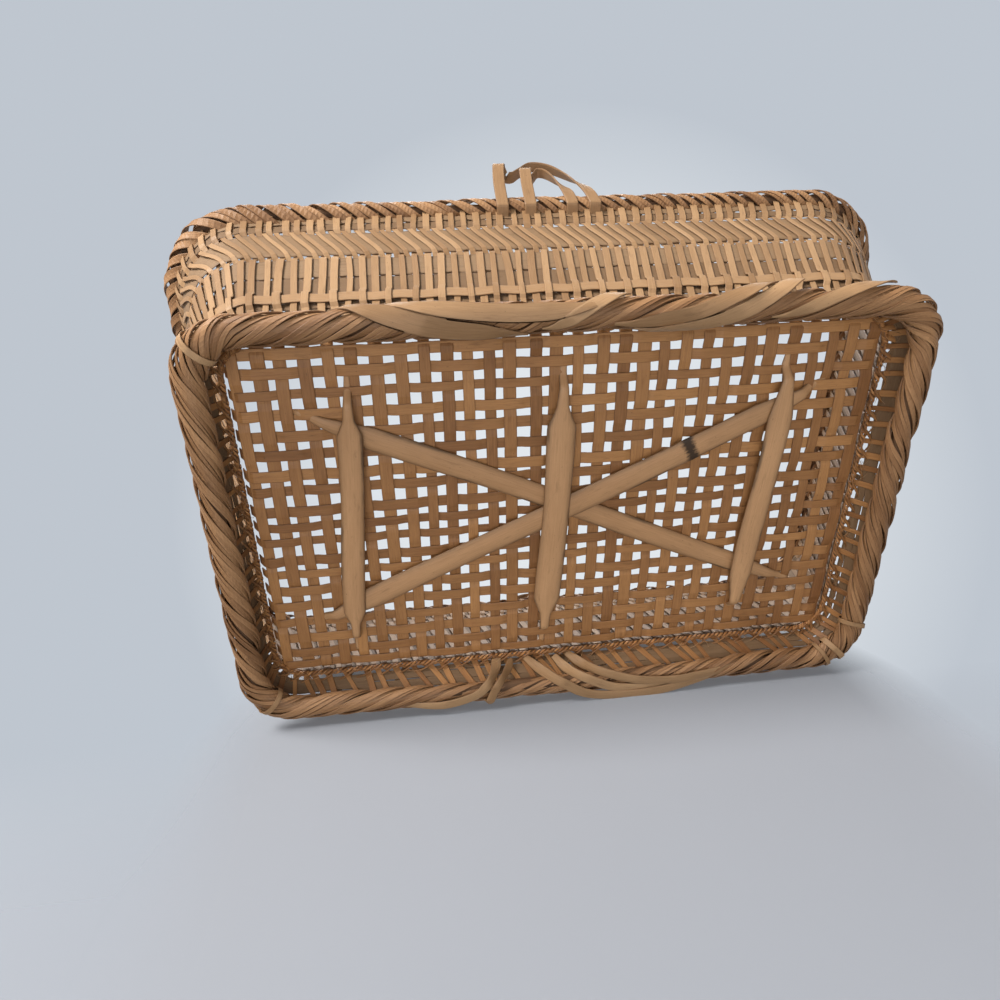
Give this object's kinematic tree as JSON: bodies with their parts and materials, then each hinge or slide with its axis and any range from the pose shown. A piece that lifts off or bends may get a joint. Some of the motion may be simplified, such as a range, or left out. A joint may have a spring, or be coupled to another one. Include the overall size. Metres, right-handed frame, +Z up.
{
  "type": "gathering basket",
  "caption": "Open rectangular bamboo gathering basket with a flaring wall, plaited rim and foot, braced openwork base and small ears on the long sides.",
  "frame": {"origin": "middle of the foot on the ground plane", "axes": "+Z up out of the mouth, +X along the long side"},
  "size_m": [0.416, 0.3252, 0.1536],
  "materials": {
    "bamboo_light": "pale tan split bamboo strip, satin, with fine fibres along it",
    "bamboo_mid": "mid tan bamboo strip, satin, with fine fibres along it",
    "bamboo_warm": "warm brown bamboo strip, matt, inner side of the culm",
    "bamboo_split": "greenish tan split bamboo with its smooth skin, satin"
  },
  "bodies": {
    "root": {"base_mat": "bamboo_mid", "skirt": "bamboo_warm", "foot_plait": "bamboo_light", "hoop_foot": "bamboo_warm", "hoop_lower": "bamboo_warm", "hoop_middle": "bamboo_warm", "hoop_upper": "bamboo_warm", "hoop_narrow": "bamboo_light", "stakes_lower": "bamboo_light", "stakes_middle": "bamboo_light", "stakes_upper": "bamboo_light", "stakes_inner": "bamboo_mid", "rim_plait": "bamboo_light", "slat_left": "bamboo_split", "slat_middle": "bamboo_split", "slat_right": "bamboo_split", "diagonal_rising": "bamboo_split", "diagonal_falling": "bamboo_split", "ear_front_outer": "bamboo_light", "ear_front_inner": "bamboo_light", "ear_back_outer": "bamboo_light", "ear_back_inner": "bamboo_light"}
  },
  "joints": []
}
